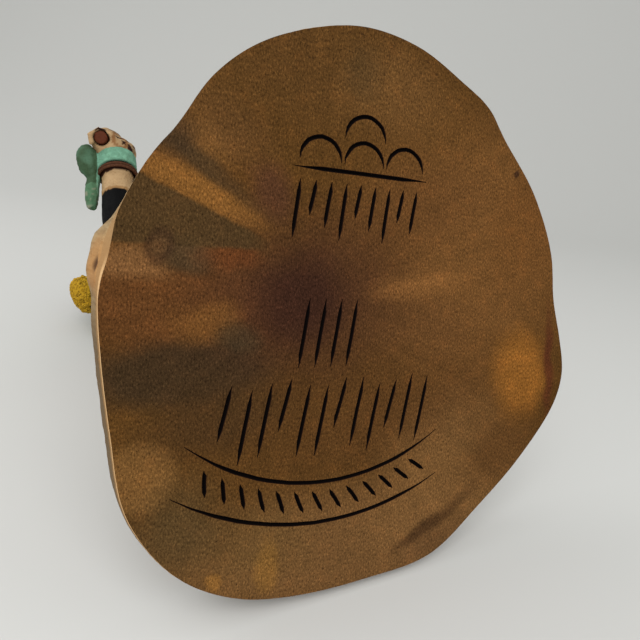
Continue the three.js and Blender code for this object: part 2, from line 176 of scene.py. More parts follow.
def place_stage():
    """The sheet: flat under the doll, then curving up into a wall beyond its head."""
    normal = GROUND_NORMAL.normalized()
    away = (CAMERA_LOOK - normal * CAMERA_LOOK.dot(normal)).normalized()
    across = away.cross(normal)
    profile = [(-SWEEP_NEAR_M, 0.0)]
    for step in range(SWEEP_STEPS + 1):
        angle = math.pi / 2 * step / SWEEP_STEPS
        reach = SWEEP_FAR_M + SWEEP_RADIUS_M * math.sin(angle)
        profile.append((reach, SWEEP_RADIUS_M * (1 - math.cos(angle))))
    profile.append((profile[-1][0], profile[-1][1] + SWEEP_WALL_M))
    start = Vector(GROUND_POINT_MM) * MM
    corners = []
    for reach, rise in profile:
        middle = start + away * reach + normal * rise
        corners.append(middle - across * SWEEP_HALF_M)
        corners.append(middle + across * SWEEP_HALF_M)
    faces = [(2 * i, 2 * i + 1, 2 * i + 3, 2 * i + 2) for i in range(len(profile) - 1)]
    mesh = bpy.data.meshes.new("sweep")
    mesh.from_pydata(corners, [], faces)
    mesh.materials.append(stage_material())
    for face in mesh.polygons:
        face.use_smooth = True
    sweep = bpy.data.objects.new("sweep", mesh)
    bpy.context.scene.collection.objects.link(sweep)


def place_sky():
    world = bpy.data.worlds.new("soft_room")
    bpy.context.scene.world = world
    world.use_nodes = True
    background = world.node_tree.nodes["Background"]
    background.inputs["Color"].default_value = (*SKY_COLOUR, 1)
    background.inputs["Strength"].default_value = SKY_STRENGTH


# Material helpers

# The colour mixer's sockets: its amount, its two colours and its result
MIX_INPUTS = (0, 6, 7)
MIX_RESULT = 2


class Finish:
    """A material under one Principled shader, with short calls for the nodes it needs."""

    def __init__(self, name, roughness, specular=0.35):
        self.material = bpy.data.materials.new(name)
        self.material.use_nodes = True
        self.nodes = self.material.node_tree.nodes
        self.links = self.material.node_tree.links
        self.shader = self.nodes["Principled BSDF"]
        self.shader.inputs["Roughness"].default_value = roughness
        self.shader.inputs["Specular IOR Level"].default_value = specular
        place = self.nodes.new("ShaderNodeTexCoord")
        scaled = self.nodes.new("ShaderNodeVectorMath")
        scaled.operation = "SCALE"
        scaled.inputs["Scale"].default_value = 1 / MM
        self.links.new(place.outputs["Object"], scaled.inputs[0])
        self.place = scaled.outputs["Vector"]

    def node(self, kind, **settings):
        made = self.nodes.new(kind)
        for key, value in settings.items():
            setattr(made, key, value)
        return made

    def fill(self, socket, value):
        """Joins a socket to another one, or gives it a fixed value."""
        if isinstance(value, bpy.types.NodeSocket):
            self.links.new(value, socket)
        else:
            socket.default_value = value

    def vector(self, operation, *values):
        made = self.node("ShaderNodeVectorMath", operation=operation)
        for index, value in enumerate(values):
            self.fill(made.inputs[index], value)
        return made.outputs

    def math(self, operation, *values):
        made = self.node("ShaderNodeMath", operation=operation)
        for index, value in enumerate(values):
            self.fill(made.inputs[index], value)
        return made.outputs["Value"]

    def grains(self, where, detail, rough=0.5):
        """Noise with a grain of one at a place, as a value and as a colour."""
        made = self.node("ShaderNodeTexNoise")
        self.links.new(where, made.inputs["Vector"])
        made.inputs["Scale"].default_value = 1.0
        made.inputs["Detail"].default_value = detail
        made.inputs["Roughness"].default_value = rough
        return made.outputs

    def cloud(self, size, detail=4.0, rough=0.55):
        """Soft noise, with its grain size in millimetres: one for all axes or one for each."""
        sizes = size if isinstance(size, tuple) else (size, size, size)
        where = self.vector("DIVIDE", self.place, sizes)["Vector"]
        return self.grains(where, detail, rough)["Fac"]

    def distance(self, source, point):
        return self.vector("DISTANCE", source, point)["Value"]

    def between(self, value, low, high, start=0.0, end=1.0):
        """A smooth step from start to end while a value goes from low to high."""
        made = self.node("ShaderNodeMapRange", interpolation_type="SMOOTHSTEP")
        self.links.new(value, made.inputs["Value"])
        made.inputs["From Min"].default_value = low
        made.inputs["From Max"].default_value = high
        made.inputs["To Min"].default_value = start
        made.inputs["To Max"].default_value = end
        return made.outputs["Result"]

    def blend(self, amount, base, top, kind="MIX"):
        made = self.node("ShaderNodeMix", data_type="RGBA", blend_type=kind)
        for index, value in zip(MIX_INPUTS, (amount, base, top)):
            self.fill(made.inputs[index], value)
        return made.outputs[MIX_RESULT]

    def times(self, first, second):
        return self.math("MULTIPLY", first, second)

    def lay(self, tone, value, span, strength, top):
        """Lays a colour over a tone while a value goes through a span."""
        return self.blend(self.between(value, *span, 0.0, strength), tone, top)

    def tint(self, tone, value, span, strength, shares):
        """Multiplies a tone's red, green and blue while a value goes through a span."""
        amount = self.between(value, *span, 0.0, strength)
        return self.blend(amount, tone, (*shares, 1), "MULTIPLY")

    def axis(self, name):
        made = self.node("ShaderNodeSeparateXYZ")
        self.links.new(self.place, made.inputs[0])
        return made.outputs[name]

    def patch(self, source, centre, radii, degrees, soft):
        """One inside an oval patch on the slab's face, falling to nothing over its soft edge."""
        moved = self.node("ShaderNodeMapping", vector_type="TEXTURE")
        self.links.new(source, moved.inputs["Vector"])
        moved.inputs["Location"].default_value = (*centre, 0)
        moved.inputs["Rotation"].default_value = (0, 0, math.radians(degrees))
        moved.inputs["Scale"].default_value = (*radii, 1)
        length = self.vector("LENGTH", moved.outputs["Vector"])["Value"]
        return self.between(length, 1 - soft, 1 + soft, 1.0, 0.0)

    def beyond(self, source, point, way, soft):
        """One on the side of a line through a point that the way points to, in millimetres."""
        offset = self.vector("SUBTRACT", source, (*point, 0))["Vector"]
        depth = self.vector("DOT_PRODUCT", offset, (*way, 0))["Value"]
        return self.between(depth, -soft, soft)

    def warped(self, grain, reach):
        """The place pushed about by soft noise, by up to half a reach each way, in millimetres."""
        where = self.vector("DIVIDE", self.place, (grain, grain, grain))["Vector"]
        drift = self.grains(where, 4.0)["Color"]
        shifted = self.vector("MULTIPLY_ADD", drift, (reach, reach, 0), self.place)["Vector"]
        return self.vector("SUBTRACT", shifted, (reach / 2, reach / 2, 0))["Vector"]

    def radial(self, middle, spokes, reach):
        """Noise drawn out along the lines from a middle, with a reach in millimetres."""
        offset = self.vector("SUBTRACT", self.place, (*middle, 0))["Vector"]
        way = self.vector("NORMALIZE", offset)["Vector"]
        spread = self.vector("MULTIPLY", way, (spokes, spokes, spokes))["Vector"]
        length = self.vector("LENGTH", offset)["Value"]
        depth = self.node("ShaderNodeCombineXYZ")
        self.links.new(self.math("DIVIDE", length, reach), depth.inputs["Z"])
        where = self.vector("ADD", spread, depth.outputs["Vector"])["Vector"]
        return self.grains(where, 3.0)["Fac"]

    def finish(self, base, bump=None, height=0.1):
        """Gives the shader its colour and, where there is one, a bump with a height in millimetres."""
        self.links.new(base, self.shader.inputs["Base Color"])
        if bump is not None:
            made = self.node("ShaderNodeBump")
            made.inputs["Strength"].default_value = 1.0
            made.inputs["Distance"].default_value = height * MM
            self.links.new(bump, made.inputs["Height"])
            self.links.new(made.outputs["Normal"], self.shader.inputs["Normal"])
        return self.material


# Slab

# A dark knot scar low on the side, with an orange stain round it
KNOT_SCAR_MM = (-73.4, -12.4, 3.6)
KNOT_SCAR_RADIUS_MM = 2.4
KNOT_SCAR_DEPTH_MM = 0.8
SCAR_STAINS = ((9.0, 0.55, colour(178, 122, 66)), (2.6, 0.85, colour(64, 40, 28)))

# The stains on the underside: middle and half sizes in millimetres, turn in degrees, softness,
# strength and eye values of the colour. They are laid one over the other, in this order.
STAINS = (
    ((34.6, -21.3), (36, 34), 0, 0.6, 0.7, (110, 74, 39)),
    ((-11.1, 66.0), (48, 17), 0, 0.5, 0.8, (107, 76, 44)),
    ((30.2, 50.0), (28, 24), -35, 0.5, 0.8, (110, 78, 44)),
    ((-26.6, -64.3), (34, 14), 0, 0.7, 0.6, (82, 56, 28)),
    ((2.0, -62.0), (14, 10), 0, 0.7, 0.6, (104, 72, 38)),
    ((-9.5, -65.0), (5, 6), 0, 0.7, 0.4, (62, 49, 29)),
    ((-55.6, -3.5), (26, 13), 0, 0.5, 0.75, (88, 54, 28)),
    ((-52.6, -36.0), (17, 15), 20, 0.6, 0.5, (106, 70, 35)),
    ((-66.5, -13.2), (8, 4), 0, 0.5, 0.8, (114, 79, 46)),
    ((-54.8, 12.6), (23, 8), -3, 0.35, 0.9, (54, 40, 25)),
    ((-46.9, -41.0), (9, 4), 25, 0.6, 0.6, (108, 74, 38)),
    ((-51.5, -30.8), (17, 3.2), 23, 0.45, 0.8, (120, 80, 37)),
    ((-49.5, -36.0), (14, 2.6), 33, 0.6, 0.8, (62, 47, 29)),
    ((-57.8, -42.4), (6, 4.5), 40, 0.6, 0.7, (58, 43, 28)),
    ((-38.5, -36.0), (8, 6), 20, 0.6, 0.6, (76, 49, 22)),
    ((-33.4, -33.0), (4.5, 7), -20, 0.6, 0.6, (72, 44, 32)),
    ((-20.6, -6.0), (26, 19), 0, 0.7, 0.7, (62, 37, 26)),
    ((-24.1, -5.5), (11, 11), 0, 0.6, 0.7, (44, 25, 20)),
    ((-54.4, -15.6), (7, 4.2), 15, 0.4, 0.8, (66, 51, 33)),
    ((-43.7, -15.2), (7, 3), 0, 0.6, 0.5, (96, 52, 26)),
    ((-48.8, 1.0), (8, 5), 0, 0.6, 0.5, (112, 74, 34)),
    ((-40.4, 5.0), (6, 4), 0, 0.5, 0.6, (56, 47, 32)),
    ((-64.0, 37.5), (8.5, 8.5), 0, 0.25, 0.75, (114, 80, 42)),
    ((55.9, 17.9), (13, 11), 70, 0.5, 0.85, (134, 86, 34)),
    ((68.3, 15.0), (1.6, 17), -6, 0.7, 0.7, (72, 32, 22)),
    ((-30.3, 65.9), (3.2, 6.5), 0, 0.5, 0.8, (132, 92, 43)),
    ((-45.4, 68.6), (2.0, 2.4), 0, 0.5, 0.8, (134, 92, 43)),
    ((-46.0, 24.5), (17, 9), -8, 0.6, 0.7, (62, 43, 24)),
    ((-54.5, 52.0), (10, 11), 0, 0.7, 0.6, (76, 60, 36)),
    ((-33.0, 60.0), (14, 9), 0, 0.7, 0.4, (88, 66, 34)),
    ((49.0, 41.0), (14, 11), -40, 0.7, 0.7, (80, 52, 25)),
    ((21.0, 64.8), (11, 2.4), -24, 0.6, 0.75, (54, 35, 20)),
    ((31.0, 59.0), (9, 2.0), -38, 0.8, 0.5, (66, 44, 24)),
    ((24.0, 69.5), (12, 4.0), -24, 0.7, 0.6, (86, 60, 36)),
    ((52.0, -28.0), (11, 16), 0, 0.8, 0.5, (96, 61, 28)),
    ((-45.0, -47.0), (10, 6), 25, 0.7, 0.5, (80, 55, 30)),
    ((16.0, 2.0), (18, 9), 0, 0.8, 0.5, (88, 58, 32)),
    ((47.0, -45.5), (1.3, 1.1), 0, 0.5, 0.8, (40, 24, 18)),
    ((7.3, -30.0), (24, 12), -20, 0.8, 0.4, (80, 51, 27)),
    ((13.3, -10.3), (13, 3.4), -8, 0.7, 0.5, (126, 84, 44)),
    ((9.3, 26.0), (40, 12), -12, 0.8, 0.35, (84, 54, 30)),
)
# A stain with less softness than this keeps a close edge
SHARP_STAIN = 0.46
PITH_MM = (-22.2, -5.0)

# The olive wedge at the left: a straight slanted upper edge, a level lower one and a soft right end
WEDGE_COLOUR = colour(66, 49, 28)
WEDGE_EDGES = (((-50.0, -27.0), (-0.386, 0.923), 0.6), ((0.0, -17.8), (0.0, -1.0), 0.6),
               ((-36.0, 0.0), (-1.0, 0.0), 4.0))

# A small bark knot at the wedge's lower edge: an oval ring, dark round a paler middle
RING_MM = (-61.0, -17.4)
RING_SIZES_MM = (3.2, 4.3)
RING_TURN_DEGREES = 20
RING_MIDDLE_SHARE = 0.6

# Grain sizes on the slab
PATCH_MM = 5.0
SAW_MM = (0.5, 9.0, 1.0)
GRAIN_MM = (0.42, 0.8, 1.0)
PORE_MM = 0.6
PIT_MM = (2.4, 0.9, 2.0)
SIDE_STREAK_MM = (1.3, 1.3, 14.0)

# Growth rings as waves, in radians for each millimetre, and the rays from the pith
UNDERSIDE_RING_WAVES = 2.1
TOP_RING_WAVES = 1.5
TOP_RING_WOBBLE_MM = 18.0
SLAB_THICK_MM = 16
RAY_SPOKES = 14
RAY_REACH_MM = 45

# Where the rough front band of the underside starts and is whole
ROUGH_BAND_Y_MM = (-52, -72)

# The slab's materials in the order of their places on the piece
UNDERSIDE, SIDE, TOP, BURNT = range(4)


def lay_stains(finish, tone, loose, close):
    for centre, radii, degrees, soft, strength, stain in STAINS:
        source = close if soft < SHARP_STAIN else loose
        inside = finish.patch(source, centre, radii, degrees, soft)
        tone = finish.blend(finish.times(inside, strength), tone, colour(*stain))
    return tone


def lay_wedge(finish, tone, close):
    """The olive wedge, and the bark knot at its lower edge."""
    wedge = 0.88
    for point, way, soft in WEDGE_EDGES:
        wedge = finish.times(finish.beyond(close, point, way, soft), wedge)
    tone = finish.blend(wedge, tone, WEDGE_COLOUR)
    middle = [size * RING_MIDDLE_SHARE for size in RING_SIZES_MM]
    ring_out = finish.patch(close, RING_MM, RING_SIZES_MM, RING_TURN_DEGREES, 0.3)
    ring_in = finish.patch(close, RING_MM, middle, RING_TURN_DEGREES, 0.35)
    tone = finish.blend(finish.times(ring_out, 0.6), tone, colour(50, 33, 22))
    return finish.blend(finish.times(ring_in, 0.6), tone, colour(84, 60, 36))


def underside_material():
    """End grain under an uneven brown stain, with saw lines, pores, faint rings, rays and pits."""
    finish = Finish("stained_end_grain", 0.85, 0.02)
    loose = finish.warped(16, 8)
    close = finish.warped(5, 1.6)
    tone = finish.blend(finish.cloud(30, 3.0), colour(86, 58, 26), colour(70, 46, 20))
    tone = lay_stains(finish, tone, loose, close)
    tone = lay_wedge(finish, tone, close)

    patches = finish.cloud(PATCH_MM, 4.0, 0.65)
    tone = finish.tint(tone, patches, (0.48, 0.72), 0.45, (0.72, 0.74, 0.72))
    tone = finish.tint(tone, patches, (0.5, 0.3), 0.45, (1.4, 1.28, 1.2))
    saw = finish.cloud(SAW_MM, 2.0, 0.6)
    tone = finish.tint(tone, saw, (0.5, 0.7), 0.35, (0.6, 0.6, 0.6))
    grain = finish.cloud(GRAIN_MM, 3.0, 0.7)
    tone = finish.tint(tone, grain, (0.5, 0.72), 0.95, (2.0, 2.0, 2.0))
    tone = finish.tint(tone, grain, (0.5, 0.28), 0.95, (0.3, 0.28, 0.28))
    deep = finish.between(finish.cloud(PORE_MM, 2.0, 0.6), 0.64, 0.72)
    tone = finish.blend(finish.times(deep, 0.5), tone, colour(30, 17, 11))

    distance = finish.distance(loose, (*PITH_MM, 0))
    waves = finish.math("SINE", finish.times(distance, UNDERSIDE_RING_WAVES))
    near = finish.between(distance, 6, 46, 0.12, 0.03)
    rings = finish.times(finish.between(waves, 0.2, 1.0), near)
    tone = finish.blend(rings, tone, colour(42, 24, 17))
    rays = finish.radial(PITH_MM, RAY_SPOKES, RAY_REACH_MM)
    tone = finish.tint(tone, rays, (0.5, 0.75), 0.3, (1.4, 1.4, 1.4))
    tone = finish.tint(tone, rays, (0.5, 0.25), 0.3, (0.66, 0.68, 0.7))

    rough_band = finish.between(finish.axis("Y"), *ROUGH_BAND_Y_MM)
    pits = finish.cloud(PIT_MM, 3.0, 0.7)
    pitted = finish.times(finish.between(pits, 0.55, 0.7), rough_band)
    tone = finish.blend(finish.times(pitted, 0.65), tone, colour(42, 26, 14))
    relief = finish.math("SUBTRACT", grain, finish.times(deep, 0.8))
    relief = finish.math("SUBTRACT", relief, pitted)
    return finish.finish(tone, relief, 0.05)


def side_material():
    """Peeled side wood: pale tan, greyer towards the back, with a band of painted shade just above the
    lower rim and a painted highlight, a pale line, along the lower rim.
    """
    finish = Finish("peeled_side_wood", 0.75, 0.08)
    tone = finish.blend(finish.cloud(22, 3.0), colour(180, 154, 114), colour(146, 122, 88))
    back = finish.between(finish.axis("Y"), -12, 8)
    tone = finish.blend(finish.times(back, 0.85), tone, colour(96, 78, 55))
    streak = finish.cloud(SIDE_STREAK_MM, 4.0, 0.6)
    tone = finish.lay(tone, streak, (0.42, 0.7), 0.55, colour(112, 84, 54))
    fleck = finish.cloud(0.8, 2.0, 0.6)
    tone = finish.lay(tone, fleck, (0.62, 0.74), 0.6, colour(84, 58, 36))
    for reach, strength, stain in SCAR_STAINS:
        distance = finish.distance(finish.place, KNOT_SCAR_MM)
        tone = finish.lay(tone, distance, (reach, reach * 0.4), strength, stain)
    # Painted shade: a darker band a little above the lower rim, to hold back the brighter light where the
    # edge rounds over
    low = finish.between(finish.axis("Z"), 1.5, 1.0)
    tone = finish.blend(finish.times(low, 0.8), tone, colour(150, 116, 78))
    # Painted highlight: a pale line along the lower rim, everywhere but at the front
    rim_highlight_band = finish.between(finish.axis("Z"), 0.5, 0.3)
    rim_highlight = finish.times(rim_highlight_band, finish.between(finish.axis("Y"), -16, -10))
    tone = finish.blend(finish.times(rim_highlight, 0.85), tone, colour(206, 168, 122))
    return finish.finish(tone, finish.math("ADD", streak, fleck), 0.12)


def top_material():
    """The slab's top, plain stained end grain, a little paler than the underside."""
    finish = Finish("stained_top", 0.75, 0.1)
    tone = finish.blend(finish.cloud(26, 4.0), colour(158, 122, 80), colour(130, 96, 60))
    distance = finish.distance(finish.place, (*PITH_MM, SLAB_THICK_MM))
    wobble = finish.times(finish.cloud(20, 4.0), TOP_RING_WOBBLE_MM)
    waves = finish.math("SINE", finish.times(finish.math("ADD", distance, wobble), TOP_RING_WAVES))
    tone = finish.lay(tone, waves, (0.1, 1.0), 0.22, colour(104, 72, 42))
    fleck = finish.cloud(0.7, 3.0, 0.6)
    tone = finish.lay(tone, fleck, (0.58, 0.72), 0.5, colour(70, 46, 28))
    return finish.finish(tone, fleck, 0.12)


def burnt_material():
    finish = Finish("burnt_line", 0.8, 0.02)
    char = finish.between(finish.axis("Z"), 0.22, 0.02)
    tone = finish.blend(char, colour(9, 6, 6), colour(40, 22, 15))
    return finish.finish(tone, finish.cloud(0.5, 2.0), 0.08)


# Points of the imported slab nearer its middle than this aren't on its rim
RIM_FROM_MM = 30


def slab_rings():
    """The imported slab's rings of points from the underside up, each sorted round the middle."""
    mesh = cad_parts["base"].data
    points = sorted({tuple(round(c, 6) for c in vertex.co) for vertex in mesh.vertices})
    levels = {}
    for x, y, z in points:
        if math.hypot(x, y) > RIM_FROM_MM * MM:
            levels.setdefault(round(z, 4), []).append((x, y))
    return [
        (level, sorted(ring, key=lambda p: math.atan2(p[1], p[0])))
        for level, ring in sorted(levels.items())
    ]


def resample(ring, count):
    """A closed smooth curve through a ring of points, as many points as asked, by bearing."""
    pts = np.array(ring)
    size = len(pts)
    places = np.arange(count) * size / count
    base = np.floor(places).astype(int)
    t = (places - base)[:, None]
    p0, p1, p2, p3 = (pts[(base + step) % size] for step in (-1, 0, 1, 2))
    square = (2 * p0 - 5 * p1 + 4 * p2 - p3) * t ** 2
    cube = (3 * p1 - p0 - 3 * p2 + p3) * t ** 3
    return 0.5 * (2 * p1 + (p2 - p0) * t + square + cube)


SIDE_RIPPLE_MM = 0.3
SIDE_GRAIN_MM = 0.12

# How fast the ripple and the grain change, for each metre
RIPPLE_RATE = 110
GRAIN_ACROSS_RATE = 700
GRAIN_UP_RATE = 60


def slab_mesh():
    """The slab as one closed mesh, its side rippled and grained as whittled wood."""
    rings = slab_rings()
    heights = np.array([level for level, _ in rings])
    curves = [resample(ring, SLAB_AROUND) for _, ring in rings]
    thick = heights[-1]
    made = bmesh.new()
    rows = []
    for level in range(SLAB_LEVELS + 1):
        z = thick * level / SLAB_LEVELS
        upper = min(int(np.searchsorted(heights, z, side="right")), len(heights) - 1)
        lower = upper - 1
        share = (z - heights[lower]) / (heights[upper] - heights[lower])
        share = share * share * (3 - 2 * share) if 0 < lower < len(heights) - 2 else share
        outline = curves[lower] * (1 - share) + curves[upper] * share
        row = []
        for x, y in outline:
            out = Vector((x, y, 0)).normalized()
            inner = math.sin(math.pi * level / SLAB_LEVELS)
            ripple = noise.noise(Vector((x, y, z * 0.5)) * RIPPLE_RATE) * SIDE_RIPPLE_MM
            fine = Vector((x * GRAIN_ACROSS_RATE, y * GRAIN_ACROSS_RATE, z * GRAIN_UP_RATE))
            grain = noise.noise(fine) * SIDE_GRAIN_MM
            push = (ripple * inner + grain * min(1, 0.4 + inner)) * MM
            scar = (Vector((x, y, z)) - Vector(KNOT_SCAR_MM) * MM).length / (KNOT_SCAR_RADIUS_MM * MM)
            if scar < 1:
                push -= KNOT_SCAR_DEPTH_MM * MM * (1 - scar * scar)
            if level in (0, SLAB_LEVELS):
                push = min(push, 0)
            row.append(made.verts.new((x + out.x * push, y + out.y * push, z)))
        rows.append(row)
    made.faces.new(list(reversed(rows[0])))
    made.faces.new(rows[-1])
    for lower_row, upper_row in zip(rows, rows[1:]):
        for i in range(SLAB_AROUND):
            nxt = (i + 1) % SLAB_AROUND
            face = made.faces.new((lower_row[i], lower_row[nxt], upper_row[nxt], upper_row[i]))
            face.smooth = True
            face.material_index = SIDE
    made.faces.ensure_lookup_table()
    made.faces[0].material_index = UNDERSIDE
    made.faces[1].material_index = TOP
    mesh = bpy.data.meshes.new("slab")
    made.to_mesh(mesh)
    made.free()
    return mesh


# The burnt marks: rows of plain strokes and simple border lines
LINE_WIDTH_MM = 1.15
LINE_DEPTH_MM = 0.7
LINE_BELOW_MM = 0.4
LINE_FLARE = 1.6
LINE_WOBBLE_MM = 0.12
LINE_WOBBLE_RATE = 900
LINE_END_SHARE = 0.3
LINE_SWELL = 4


def ring_point(middle, radius, degrees):
    angle = math.radians(degrees)
    return (middle[0] + radius * math.cos(angle), middle[1] + radius * math.sin(angle))


def arc_points(middle, radius, start, end, steps=14):
    return [ring_point(middle, radius, start + (end - start) * step / steps) for step in range(steps + 1)]


CLOUD_TOP_MM = (-7.6, -48.0)
CLOUD_TOP_RADIUS_MM = 6.2
CLOUD_FIRST_MM = (-20.6, -41.4)
CLOUD_APART_MM = 13.0
CLOUD_RADIUS_MM = 6.0
CLOUD_LINE_MM = ((-28.0, -39.4), (13.0, -39.4))
RAIN_FIRST_MM = (-26.0, -36.4)
RAIN_APART_MM = 4.5
RAIN_LEAN_MM = 1.7
RAIN_DROPS_MM = (15.0, 9.0, 12.0)
RAIN_STROKES = 9


def cloud_and_rain():
    """One arc over three, on a level line over falling strokes. The front edge, -Y, is up."""
    strokes = [arc_points(CLOUD_TOP_MM, CLOUD_TOP_RADIUS_MM, 180, 360)]
    for index in range(3):
        middle = (CLOUD_FIRST_MM[0] + CLOUD_APART_MM * index, CLOUD_FIRST_MM[1])
        strokes.append(arc_points(middle, CLOUD_RADIUS_MM, 180, 360))
    strokes.append(list(CLOUD_LINE_MM))
    x, top = RAIN_FIRST_MM
    for index in range(RAIN_STROKES):
        start = x + index * RAIN_APART_MM
        drop = RAIN_DROPS_MM[index % len(RAIN_DROPS_MM)]
        strokes.append([(start, top), (start - RAIN_LEAN_MM, top + drop)])
    return strokes


SHORT_ROW_MM = (-21.5, -6.0)
SHORT_ROW_APART_MM = 4.8
SHORT_ROW_STROKES = 4
SHORT_STROKE_MM = (-2.6, 18.5)
LONG_ROW_MM = (-44.0, 16.4)
LONG_ROW_APART_MM = 5.5
LONG_ROW_STROKES = 12
LONG_ROW_SWAY_MM = 1.3
LONG_ROW_SWAY_STEP = 1.7
LONG_STROKE_LEANS_MM = (1.9, 1.5)
LONG_STROKE_MM = 19.5
THIRD_STROKE_MM = 14.0


def tally_rows():
    """Two rows of slanted strokes that make no letters."""
    strokes = []
    for index in range(SHORT_ROW_STROKES):
        x = SHORT_ROW_MM[0] + index * SHORT_ROW_APART_MM
        y = SHORT_ROW_MM[1]
        strokes.append([(x, y), (x + SHORT_STROKE_MM[0], y + SHORT_STROKE_MM[1])])
    for index in range(LONG_ROW_STROKES):
        x = LONG_ROW_MM[0] + index * LONG_ROW_APART_MM
        y = LONG_ROW_MM[1] + LONG_ROW_SWAY_MM * math.sin(index * LONG_ROW_SWAY_STEP)
        reach = LONG_STROKE_MM if index % 3 else THIRD_STROKE_MM
        strokes.append([(x + LONG_STROKE_LEANS_MM[0], y), (x - LONG_STROKE_LEANS_MM[1], y + reach)])
    return strokes


BORDER_MIDDLE_MM = (-14.0, -20.0)
BORDER_INNER_RADIUS_MM = 64.5
BORDER_OUTER_MIDDLE_MM = (-14.0, -25.0)
BORDER_OUTER_RADIUS_MM = 81.0
BORDER_LINE_STEPS = 26
BORDER_STROKES = 13
BORDER_FIRST_DEGREES = 121
BORDER_STEP_DEGREES = 4.6
BORDER_LEAN_DEGREES = 3.0
BORDER_STROKE_RADII_MM = (67.0, 73.0)


def woven_border():
    """Two long curved lines with short slanted strokes between them."""
    strokes = [
        arc_points(BORDER_MIDDLE_MM, BORDER_INNER_RADIUS_MM, 128, 55, BORDER_LINE_STEPS),
        arc_points(BORDER_OUTER_MIDDLE_MM, BORDER_OUTER_RADIUS_MM, 122, 62, BORDER_LINE_STEPS),
    ]
    for index in range(BORDER_STROKES):
        degrees = BORDER_FIRST_DEGREES - index * BORDER_STEP_DEGREES
        inner = ring_point(BORDER_MIDDLE_MM, BORDER_STROKE_RADII_MM[0], degrees)
        outer = ring_point(BORDER_MIDDLE_MM, BORDER_STROKE_RADII_MM[1], degrees - BORDER_LEAN_DEGREES)
        strokes.append([inner, outer])
    return strokes


def groove(made, points):
    """Adds one wedge that cuts a burnt line, narrow at both ends."""
    pts = [Vector((x, y, 0)) * MM for x, y in points]
    if len(pts) == 2:
        pts = [pts[0].lerp(pts[1], t) for t in (0, 0.2, 0.5, 0.8, 1)]
    sections = []
    last = len(pts) - 1
    below = Vector((0, 0, -LINE_BELOW_MM * MM))
    for index, point in enumerate(pts):
        ahead = pts[min(index + 1, last)] - pts[max(index - 1, 0)]
        across = Vector((-ahead.y, ahead.x, 0)).normalized()
        end = min(index, last - index) / last
        full = min(1.0, LINE_END_SHARE + end * LINE_SWELL)
        half = LINE_WIDTH_MM * MM * full / 2
        deep = LINE_DEPTH_MM * MM * full
        wobble = noise.noise(point * LINE_WOBBLE_RATE) * LINE_WOBBLE_MM * MM
        middle = point + across * wobble
        sections.append([
            made.verts.new(middle + across * half * LINE_FLARE + below),
            made.verts.new(middle - across * half * LINE_FLARE + below),
            made.verts.new(middle + Vector((0, 0, deep))),
        ])
    for first, second in zip(sections, sections[1:]):
        for i in range(3):
            nxt = (i + 1) % 3
            made.faces.new((first[i], first[nxt], second[nxt], second[i]))
    made.faces.new(sections[0])
    made.faces.new(list(reversed(sections[-1])))


def link(name, mesh):
    made = bpy.data.objects.new(name, mesh)
    bpy.context.scene.collection.objects.link(made)
    return made


def evaluated(piece):
    """The piece's mesh with its modifiers applied, in place of the old one."""
    bpy.context.view_layer.update()
    graph = bpy.context.evaluated_depsgraph_get()
    mesh = bpy.data.meshes.new_from_object(piece.evaluated_get(graph))
    piece.modifiers.clear()
    piece.data = mesh
    return piece


def smooth_faces(mesh):
    for face in mesh.polygons:
        face.use_smooth = True


def settle(piece):
    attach(piece, "root")


def make_slab():
    piece = link("root_slice", slab_mesh())
    for material in (underside_material(), side_material(), top_material(), burnt_material()):
        piece.data.materials.append(material)
    cutter = bmesh.new()
    for stroke in cloud_and_rain() + tally_rows() + woven_border():
        groove(cutter, stroke)
    bmesh.ops.recalc_face_normals(cutter, faces=cutter.faces)
    mesh = bpy.data.meshes.new("burnt_strokes")
    cutter.to_mesh(mesh)
    cutter.free()
    tool = link("burnt_strokes", mesh)
    for material in piece.data.materials:
        tool.data.materials.append(material)
    for face in tool.data.polygons:
        face.material_index = BURNT
    cut = piece.modifiers.new("burn", "BOOLEAN")
    cut.object = tool
    cut.operation = "DIFFERENCE"
    cut.solver = "EXACT"
    evaluated(piece)
    bpy.data.objects.remove(tool)
    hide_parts("base")
    settle(piece)


# Geometry Nodes: what is scattered over a face or wound along a path


# The random node's sockets: least, most and result, for vectors and for numbers, and its seed
VECTOR_CHANCE = (0, 1, 0)
NUMBER_CHANCE = (2, 3, 1)
CHANCE_SEED = 8


